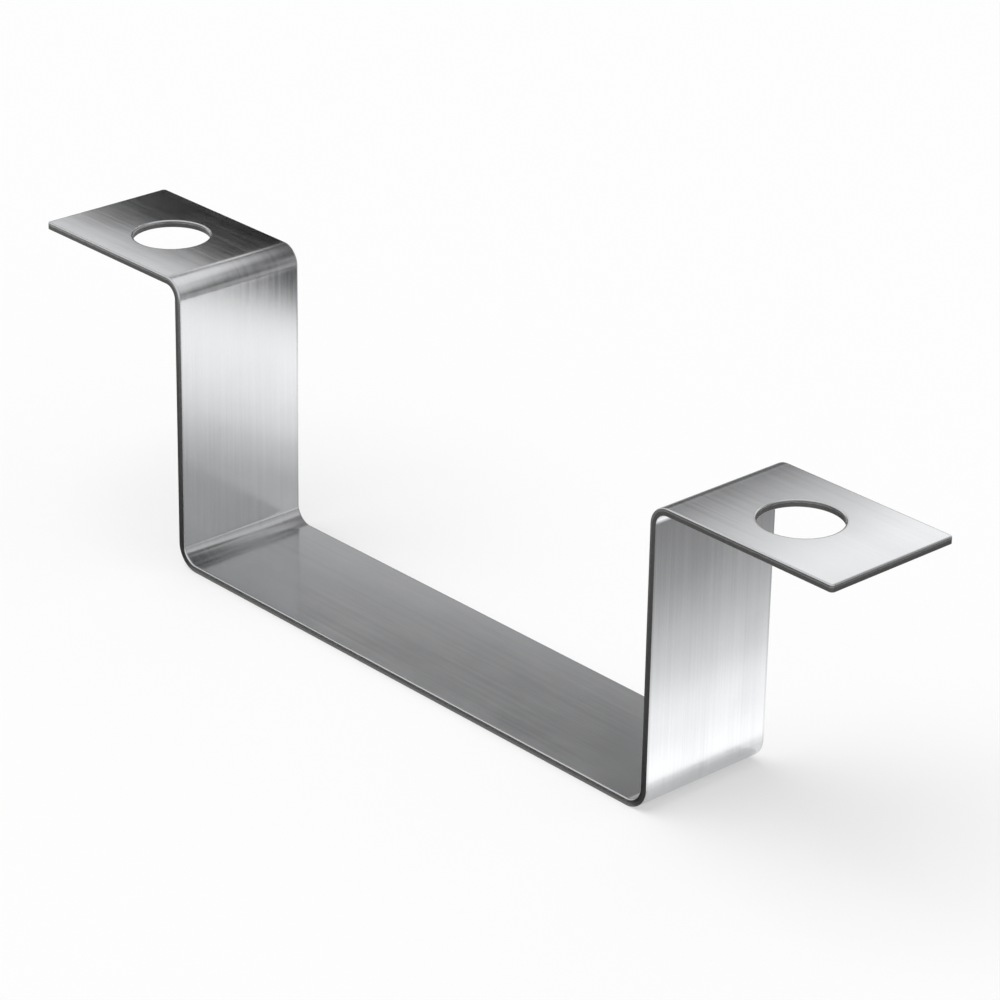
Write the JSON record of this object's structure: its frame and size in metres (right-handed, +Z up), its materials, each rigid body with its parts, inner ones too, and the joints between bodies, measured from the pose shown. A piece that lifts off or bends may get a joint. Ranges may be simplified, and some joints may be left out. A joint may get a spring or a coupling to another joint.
{
  "type": "duct mounting bracket",
  "caption": "Strip of sheet steel folded into a hat section, with a screw hole in each flange, that holds a flat rectangular duct up against a ceiling or joist.",
  "frame": {"origin": "centre of the underside of the base, on the strip's centre line", "axes": "+X along the strip and across the duct, +Y across the strip and along the duct, +Z up from the base to the flanges"},
  "size_m": [0.182, 0.025, 0.0512],
  "materials": {
    "zinc_plated_steel": "plain zinc-plated sheet steel, satin, with fine rolling lines along the strip and bare sheared edges"
  },
  "bodies": {
    "root": {"bracket": "zinc_plated_steel"}
  },
  "joints": []
}
